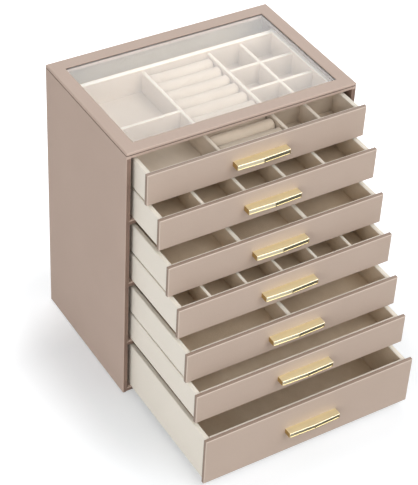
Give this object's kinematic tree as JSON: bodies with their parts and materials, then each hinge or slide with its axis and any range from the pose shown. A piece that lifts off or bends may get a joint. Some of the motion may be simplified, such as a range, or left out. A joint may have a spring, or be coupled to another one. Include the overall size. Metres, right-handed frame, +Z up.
{
  "type": "jewelry box",
  "caption": "Upright jewelry box of leather-wrapped boards with a fixed glass window in the top and a stack of velvet-lined pull-out drawers with metal bar handles.",
  "frame": {"origin": "centre of the underside of the cabinet, on the surface that it stands on; the drawers stand open as in the picture when every joint is at 0", "axes": "+X to the right seen from the front, drawer fronts face -Y and slide out along -Y, +Z up"},
  "size_m": [0.28, 0.3585, 0.335],
  "materials": {
    "leather_wrap": "fine grain, satin",
    "drawer_wrap": "smooth, matt",
    "velvet": "short pile",
    "velvet_board": "short pile on board",
    "gold_metal": "brushed and polished",
    "steel": "zinc plated",
    "glass": "clear float glass",
    "black_tape": "matt",
    "runner_plastic": "matt",
    "felt": "felt"
  },
  "bodies": {
    "cabinet": {"left_side_panel": "leather_wrap", "right_side_panel": "leather_wrap", "back_panel": "leather_wrap", "bottom_panel": "leather_wrap", "base_felt": "felt", "shelf_upper": "leather_wrap", "shelf_middle": "leather_wrap", "shelf_lower": "leather_wrap", "rails_under_window": "leather_wrap", "top_trim_frame": "leather_wrap", "glass_bed_tape": "black_tape", "glass_pane": "glass", "runners_1": "runner_plastic", "runners_2": "runner_plastic", "runners_3": "runner_plastic", "runners_4": "runner_plastic", "runners_5": "runner_plastic", "runners_6": "runner_plastic", "runners_7": "runner_plastic"},
    "drawer_1": {"drawer_1_box": "drawer_wrap", "drawer_1_floor_lining": "velvet", "drawer_1_dividers": "velvet_board", "drawer_1_ring_rolls": "velvet", "drawer_1_front": "leather_wrap", "drawer_1_handle": "gold_metal", "drawer_1_handle_screws": "steel"},
    "drawer_2": {"drawer_2_box": "drawer_wrap", "drawer_2_floor_lining": "velvet", "drawer_2_dividers": "velvet_board", "drawer_2_front": "leather_wrap", "drawer_2_handle": "gold_metal", "drawer_2_handle_screws": "steel"},
    "drawer_3": {"drawer_3_box": "drawer_wrap", "drawer_3_floor_lining": "velvet", "drawer_3_dividers": "velvet_board", "drawer_3_front": "leather_wrap", "drawer_3_handle": "gold_metal", "drawer_3_handle_screws": "steel"},
    "drawer_4": {"drawer_4_box": "drawer_wrap", "drawer_4_floor_lining": "velvet", "drawer_4_dividers": "velvet_board", "drawer_4_front": "leather_wrap", "drawer_4_handle": "gold_metal", "drawer_4_handle_screws": "steel"},
    "drawer_5": {"drawer_5_box": "drawer_wrap", "drawer_5_floor_lining": "velvet", "drawer_5_dividers": "velvet_board", "drawer_5_front": "leather_wrap", "drawer_5_handle": "gold_metal", "drawer_5_handle_screws": "steel"},
    "drawer_6": {"drawer_6_box": "drawer_wrap", "drawer_6_floor_lining": "velvet", "drawer_6_front": "leather_wrap", "drawer_6_handle": "gold_metal", "drawer_6_handle_screws": "steel"},
    "drawer_7": {"drawer_7_box": "drawer_wrap", "drawer_7_floor_lining": "velvet", "drawer_7_front": "leather_wrap", "drawer_7_handle": "gold_metal", "drawer_7_handle_screws": "steel"}
  },
  "joints": [
    {"name": "drawer_1_slide", "type": "slide", "parent": "cabinet", "child": "drawer_1", "axis": [0, -1, 0], "range_m": [-0.0305, 0.1235]},
    {"name": "drawer_2_slide", "type": "slide", "parent": "cabinet", "child": "drawer_2", "axis": [0, -1, 0], "range_m": [-0.057, 0.111]},
    {"name": "drawer_3_slide", "type": "slide", "parent": "cabinet", "child": "drawer_3", "axis": [0, -1, 0], "range_m": [-0.078, 0.076]},
    {"name": "drawer_4_slide", "type": "slide", "parent": "cabinet", "child": "drawer_4", "axis": [0, -1, 0], "range_m": [-0.101, 0.067]},
    {"name": "drawer_5_slide", "type": "slide", "parent": "cabinet", "child": "drawer_5", "axis": [0, -1, 0], "range_m": [-0.121, 0.033]},
    {"name": "drawer_6_slide", "type": "slide", "parent": "cabinet", "child": "drawer_6", "axis": [0, -1, 0], "range_m": [-0.1435, 0.0245]},
    {"name": "drawer_7_slide", "type": "slide", "parent": "cabinet", "child": "drawer_7", "axis": [0, -1, 0], "range_m": [-0.166, 0.002]}
  ]
}
